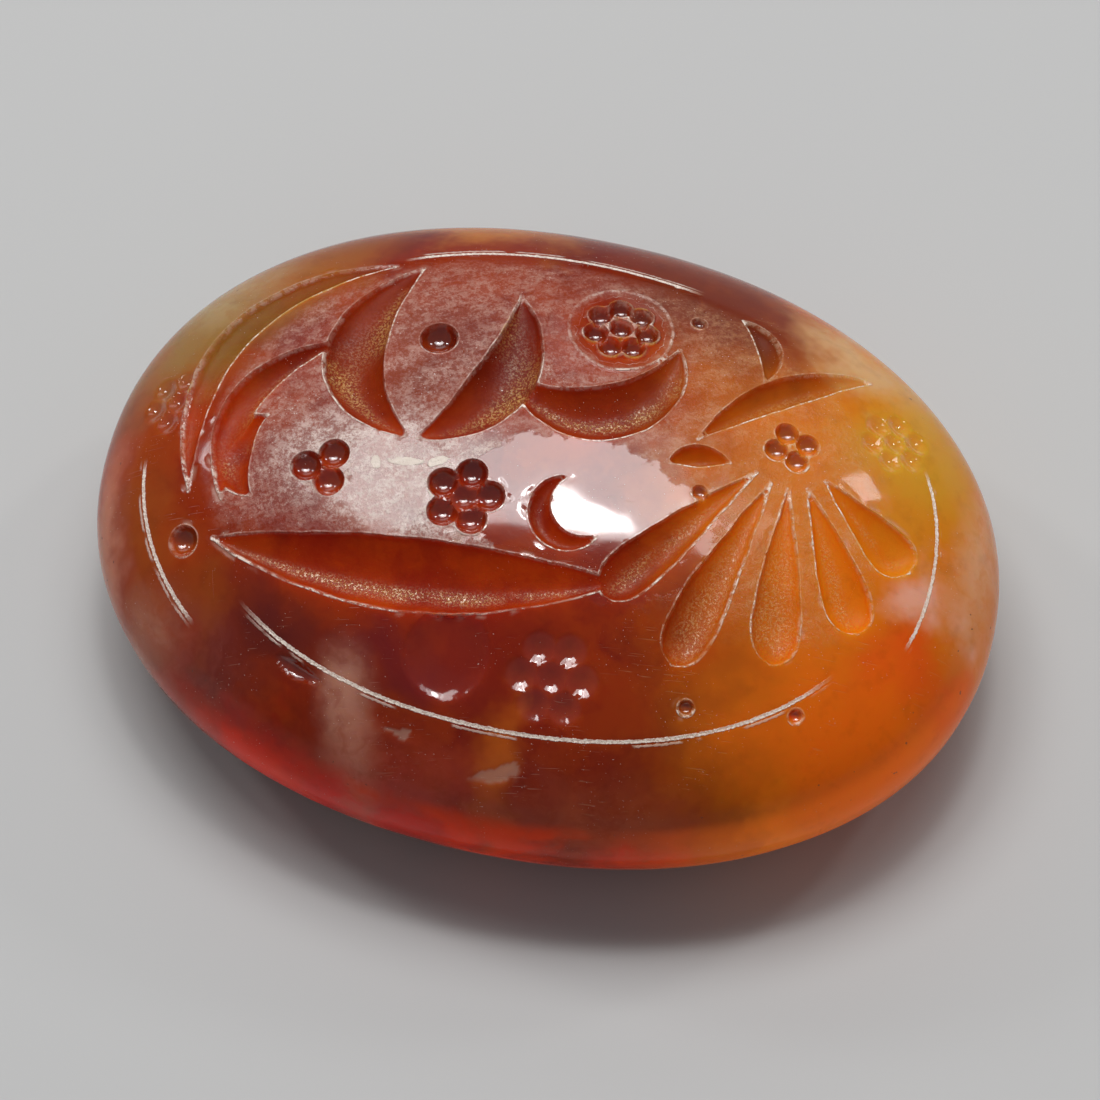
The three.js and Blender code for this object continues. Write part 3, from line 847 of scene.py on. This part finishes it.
marks = {  # noises as scale, detail and roughness, lengths in millimetres, floors as atLeast takes them
    "streakStretch": ((0, 0, 0), (2.4, 0.55, 1), 32),
    "streakNoise": (1.6, 5, 0.65),
    "streakRange": (0.36, 0.62),
    "streakFloor": 0.4,
    "speckleShare": 0.55,  # of the frost; the rest is frostNoise
    "frostNoise": (3, 4, 0.7),
    "frostRange": (0.43, 0.6),
    "frostFloor": 0.2,
    "hazeAmber": 0.45,     # the share taken off at the amber end
    "sheenHaze": (0.3, 0.6),
    "grainNoise": (17, 3, 0.75),
    "grainRange": (0.45, 0.6),
    "grainFloor": 0.12,
    "dustNoise": (0.8, 2),
    "dustRange": (0.3, 0.5),
    "dustTint": (0.0, 0.3),
    "beadNoise": (6.5, 3, 0.65),
    "beadRange": (0.4, 0.58),
    "beadFloor": 0.25,
    "lipOutside": (0.05, 0.02),
    "lipInside": (-0.065, -0.02),
    "lipNoise": (0.7, 3),
    "lipRange": (0.38, 0.56),
    "lipFloor": 0.35,
    "upperLip": 0.4,
    "jitterNoise": (13, 2, 0.6),
    "jitter": 0.06,
    "threadHalf": (0.05, 0.03),
    "threadNoise": (15, 2, 0.7),
    "threadRange": (0.4, 0.56),
    "threadFloor": 0.75,
    "secondStrength": 0.6,
    "secondOffset": 0.1,
    "secondHalf": (0.034, 0.014),
    "secondNoise": (0.8, 2),
    "secondRange": (0.47, 0.53),
    "shardNoise": (6, 3, 0.7),
    "shardRagged": 1.6,
    "shardEdge": (1.92, 1.82),
    "pitNoise": (22, 1, 0.5),
    "pitRange": (0.73, 0.78),
    "pitPatchNoise": (0.7, 2),
    "pitPatchRange": (0.44, 0.6),
    "hairStretch": ((0, 0, 0), (0.5, 0.025, 9), 8),
    "hairNoise": (1, 0),
    "hairRange": (0.76, 0.8),
    "hairPatchNoise": (0.7, 3),
    "hairPatchRange": (0.5, 0.62),
    "hairOutline": (0.97, 0.9),
    "speckNoise": (5, 1, 0.5),
    "speckRange": (0.77, 0.79),
    "speckOutline": (0.9, 0.95),
    "speckColour": (0.12, 0.05, 0.04, 1),
    "speckStrength": 0.8,
}


def borderThreads(mask):  # a painted bright highlight thread where the offset is nothing, and here and there a fine second one
    place, offset = mask.place, mask.offset
    jitter = (place.noise(*marks["jitterNoise"]) - 0.5) * marks["jitter"]
    uneven = place.noise(*marks["threadNoise"]).smooth(*marks["threadRange"])
    thread = (abs(offset) + jitter).smooth(*marks["threadHalf"]) * atLeast(marks["threadFloor"], uneven)
    second = (abs(offset - marks["secondOffset"]) + jitter).smooth(*marks["secondHalf"])
    second = second * place.noise(*marks["secondNoise"]).smooth(*marks["secondRange"])
    return (thread + second * marks["secondStrength"]) * mask.line


def surfaceMarks(mask):
    # Frost on the worn crown with a painted reflection where the soft box shines on it, dust in the troughs,
    # painted glints along the rims, brighter on the lower rims that face the lamps, painted bright border
    # lines and splinters, tiny pits painted white as glints and scratches, each a range of a noise times the
    # masks of where it lies
    place, rim = mask.place, mask.rim
    stretched = place.placed(*marks["streakStretch"])
    streaks = stretched.noise(*marks["streakNoise"]).smooth(*marks["streakRange"])
    share = marks["speckleShare"]
    frost = mask.speckle * share + place.noise(*marks["frostNoise"]) * (1 - share)
    frost = frost.smooth(*marks["frostRange"])
    frostAndSheen = mask.worn * atLeast(marks["streakFloor"], streaks) * atLeast(marks["frostFloor"], frost)
    sheenLeast, sheenFrost = marks["sheenHaze"]
    frostAndSheen = frostAndSheen * (1 - mask.amberEnd * marks["hazeAmber"]) + mask.sheen * (sheenLeast + sheenFrost * frost)
    grains = place.noise(*marks["grainNoise"]).smooth(*marks["grainRange"])
    grit = mask.dust * atLeast(marks["grainFloor"], grains)
    grit = grit * place.noise(*marks["dustNoise"]).smooth(*marks["dustRange"])
    beads = place.noise(*marks["beadNoise"]).smooth(*marks["beadRange"])
    stretches = place.noise(*marks["lipNoise"]).smooth(*marks["lipRange"])
    glints = rim.smooth(*marks["lipOutside"]) * rim.smooth(*marks["lipInside"])
    # painted highlight, stronger on the lower rims, which face the lamps
    glints = glints * atLeast(marks["beadFloor"], beads) * atLeast(marks["upperLip"], mask.lower)
    glints = glints * atLeast(marks["lipFloor"], stretches) + borderThreads(mask)
    ragged = place.noise(*marks["shardNoise"]) * marks["shardRagged"]
    for middle, size, turn in shards:
        splinter = place.placed(middle, size, turn).length() + ragged
        glints = glints + splinter.smooth(*marks["shardEdge"]) * (1 - mask.pit)
    # tiny pits, painted white as glints
    glintingPits = place.noise(*marks["pitNoise"]).smooth(*marks["pitRange"])
    glintingPits = glintingPits * place.noise(*marks["pitPatchNoise"]).smooth(*marks["pitPatchRange"])
    hairs = place.placed(*marks["hairStretch"]).noise(*marks["hairNoise"]).smooth(*marks["hairRange"])
    hairPatches = place.noise(*marks["hairPatchNoise"]).smooth(*marks["hairPatchRange"])
    hairs = hairs * (1 - mask.carved) * hairPatches * mask.outline.smooth(*marks["hairOutline"])
    return SimpleNamespace(frostAndSheen=frostAndSheen, grains=grains, grit=grit, glints=glints, glintingPits=glintingPits, hairs=hairs)


cover = {"frostAndSheen": 0.6, "grit": 0.65, "glints": 0.96, "chip": 0.35, "glintingPits": 0.6, "hairs": 0.25}  # at their fullest


def skinCover(mask, mark):  # one less the product of what every mark leaves bare
    bare = (1 - mark.frostAndSheen * cover["frostAndSheen"]) * (1 - mark.grit * cover["grit"]) * (1 - mark.glints * cover["glints"])
    bare = bare * (1 - mask.chip * cover["chip"]) * (1 - mark.glintingPits * cover["glintingPits"])
    return 1 - bare * (1 - mark.hairs * cover["hairs"])


def skinColour(tree, mask, mark):  # the frost, golden at the amber end and painted near white as a reflection where the sheen is, with each mark's colour over it in turn
    film = blend(tree, mask.amberEnd, carnelian["frostAndSheen"], carnelian["goldHaze"])
    film = film.mixed(carnelian["sheen"], mask.sheen)
    film = film.mixed(carnelian["dust"], mark.grit.smooth(*marks["dustTint"]))
    return film.mixed(carnelian["chip"], mask.chip).mixed(carnelian["glints"], mark.glints + mark.glintingPits)


coating = {  # weights that the masks add or, for worn and carved, take off; the last four are shares
    "plain": 0.08,
    "plateau": 0.08,
    "polished": 0.42,
    "worn": 0.1,
    "sheen": 0.4,
    "pit": 0.8,
    "carved": 0.08,
    "wornAmber": 1.1,
    "pitSoft": 0.2,
    "far": 0.9,
    "low": 0.9,
}

dullness = {"plain": 0.14, "worn": 0.12, "carved": 0.3, "carvedGloss": 0.2}


def coatWeight(mask):  # much on the polished patch and in the pits, little where worn, carved or at the edges
    coat = coating["plain"] + mask.plateau * (coating["plateau"] + coating["polished"] * mask.polished)
    coat = coat - coating["worn"] * mask.worn * (1 - coating["wornAmber"] * mask.amberEnd)
    coat = coat + coating["sheen"] * mask.sheen
    coat = coat + coating["pit"] * mask.pit * mask.gloss * (1 - coating["pitSoft"] * mask.soft)
    coat = coat - coating["carved"] * mask.carved * (1 - mask.gloss)
    return coat * (1 - mask.far * coating["far"]) * (1 - mask.low * coating["low"])


def bodyRoughness(mask):  # more where worn and in the cuts, but less in the ball-drill's pits
    cut = dullness["carved"] - dullness["carvedGloss"] * mask.gloss
    return dullness["plain"] + mask.worn * dullness["worn"] + mask.carved * cut


relief = {  # heights in millimetres
    "speckle": 0.03,
    "wornDown": 0.006,
    "lineGroove": 0.015,
    "lineGrooveHalf": (0.08, 0.0),
    "wheelMarks": 0.008,
    "wheelMarkNoise": (8, 4, 0.7),
    "dust": 0.01,
    "glints": 0.03,
    "glintingPits": 0.02,
    "hairs": 0.008,
    "polish": 0.006,
    "polishNoise": (3.5, 4, 0.6),
}


def surfaceHeight(mask, mark):  # the sum of every mark times its height
    place = mask.place
    height = mask.speckle * (mask.worn + mask.sheen) * relief["speckle"] - mask.worn * relief["wornDown"]
    height = height - abs(mask.offset).smooth(*relief["lineGrooveHalf"]) * mask.line * relief["lineGroove"]
    wheelMarks = place.noise(*relief["wheelMarkNoise"]) * mask.carved * (1 - mask.gloss)
    height = height + wheelMarks * relief["wheelMarks"] + mark.grains * mask.dust * relief["dust"]
    height = height + mark.glints * relief["glints"] - mark.glintingPits * relief["glintingPits"] - mark.hairs * relief["hairs"]
    return height + place.noise(*relief["polishNoise"]) * relief["polish"]


def carnelianMaterial():  # the stone's body, and a dull skin over it where the marks are, the painted highlights and reflections among them
    material, tree = newTree("carnelian")
    mask = surfaceMasks(tree)
    mark = surfaceMarks(mask)
    colour, drifting = cloudColour(tree, mask.place)
    ember, east = edgeGlow(mask, drifting)
    colour = tintCuts(colour, mask).mixed(glow["tint"], ember * (1 - east), "MULTIPLY")
    specks = mask.place.noise(*marks["speckNoise"]).smooth(*marks["speckRange"])
    specks = specks * mask.outline.smooth(*marks["speckOutline"]) * marks["speckStrength"]
    emberColour = blend(tree, east, carnelian["emberRed"], carnelian["emberOrange"])
    height = surfaceHeight(mask, mark)
    bump = tree.node("ShaderNodeBump", None, {"Strength": 1.0, "Distance": mm, "Height": height})

    body = tree.node("ShaderNodeBsdfPrincipled", None, {
        "Base Color": colour.mixed(marks["speckColour"], specks),
        "Roughness": bodyRoughness(mask),
        "IOR": carnelian["ior"],
        "Specular IOR Level": carnelian["specular"],
        "Normal": bump,
        "Emission Color": blend(tree, ember, (0, 0, 0, 1), emberColour),
        "Emission Strength": carnelian["emberStrength"],
        "Subsurface Weight": carnelian["subsurface"],
        "Subsurface Radius": carnelian["subsurfaceRadius"],
        "Subsurface Scale": carnelian["subsurfaceScale"],
        "Coat Weight": coatWeight(mask),
        "Coat IOR": carnelian["coatIor"],
        "Coat Roughness": carnelian["coatRoughness"],
    })
    skin = tree.node("ShaderNodeBsdfPrincipled", None, {
        "Base Color": skinColour(tree, mask, mark),
        "Roughness": carnelian["skinRoughness"],
        "IOR": carnelian["skinIor"],
        "Normal": bump,
    })
    shader = tree.node("ShaderNodeMixShader", None, {0: skinCover(mask, mark), 1: body, 2: skin})
    tree.node("ShaderNodeOutputMaterial", None, {"Surface": shader})
    return material


gem = buildStone()
gem.data.materials.append(carnelianMaterial())
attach(gem, "root")
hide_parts("engraved_stone")
print("stone dressed")


# Floor, light and camera

studio = {
    "target": (0.126, -0.222, 3.238),  # millimetres
    "azimuth": 12.6,                  # degrees, as in the photograph
    "elevation": 66.0,
    "lens": 200.0,
    "sensor": 36.0,
    "clip": (0.001, 10),              # metres
    "framedWidth": 26.6,              # millimetres of the object's plane across the picture
    "floorSize": 900.0,
    "floorColour": (0.54, 0.54, 0.535),
    "floorRoughness": 0.9,
    "world": (0.17, 0.174, 0.182),
}

lamps = [  # name, shape, azimuth and elevation seen from the stone, distance, size, radiance
    ("key_core", "ELLIPSE", 186, 72, 400, (66, 44), 28),
    ("key_soft_box", "RECTANGLE", 188, 66, 420, (170, 150), 7),
    ("left_soft_box", "RECTANGLE", 232, 64, 430, (125, 125), 8.5),
    ("right_soft_box", "RECTANGLE", 148, 64, 430, (90, 100), 4.5),
    ("back_soft_box", "RECTANGLE", 204, 38, 520, (420, 150), 1),
    ("left_strip", "RECTANGLE", 248, 34, 420, (40, 60), 20),
    ("right_strip", "RECTANGLE", 140, 36, 420, (36, 54), 20),
]


def away(azimuth, elevation):  # the unit way from the stone, azimuth 0 towards -Y
    a, e = math.radians(azimuth), math.radians(elevation)
    return Vector((math.sin(a) * math.cos(e), -math.cos(a) * math.cos(e), math.sin(e)))


def buildStage():  # a floor, an even world, and lamps whose power is radiance times pi and area
    half = studio["floorSize"] * mm / 2
    mesh = bpy.data.meshes.new("floor")
    corners = [(-half, -half, 0), (half, -half, 0), (half, half, 0), (-half, half, 0)]
    mesh.from_pydata(corners, [], [(0, 1, 2, 3)])
    floor = bpy.data.objects.new("floor", mesh)
    bpy.context.scene.collection.objects.link(floor)
    material, tree = newTree("floor")
    shader = tree.node("ShaderNodeBsdfPrincipled", None,
                       {"Base Color": (*studio["floorColour"], 1), "Roughness": studio["floorRoughness"]})
    tree.node("ShaderNodeOutputMaterial", None, {"Surface": shader})
    mesh.materials.append(material)

    world = bpy.data.worlds.new("studio")
    world.use_nodes = True
    world.node_tree.nodes["Background"].inputs["Color"].default_value = (*studio["world"], 1)
    bpy.context.scene.world = world

    target = Vector(studio["target"]) * mm
    for name, shape, azimuth, elevation, distance, (width, height), radiance in lamps:
        light = bpy.data.lights.new(name, "AREA")
        light.shape, light.size, light.size_y = shape, width * mm, height * mm
        area = light.size * light.size_y * (math.pi / 4 if shape == "ELLIPSE" else 1)
        light.energy = radiance * math.pi * area
        lamp = bpy.data.objects.new(name, light)
        lamp.location = target + away(azimuth, elevation) * distance * mm
        lamp.rotation_euler = (target - lamp.location).to_track_quat("-Z", "Y").to_euler()
        bpy.context.scene.collection.objects.link(lamp)


def buildCamera():  # as far off as puts the framed width across the sensor: width times lens over sensor
    target = Vector(studio["target"]) * mm
    camera = bpy.data.cameras.new("camera")
    camera.lens, camera.sensor_width = studio["lens"], studio["sensor"]
    camera.clip_start, camera.clip_end = studio["clip"]
    holder = bpy.data.objects.new("camera", camera)
    distance = studio["framedWidth"] * mm * studio["lens"] / studio["sensor"]
    holder.location = target + away(studio["azimuth"], studio["elevation"]) * distance
    holder.rotation_euler = (target - holder.location).to_track_quat("-Z", "Y").to_euler()
    bpy.context.scene.collection.objects.link(holder)
    bpy.context.scene.camera = holder


buildStage()
buildCamera()
bpy.context.scene.view_settings.view_transform = "Standard"
print("stage set")
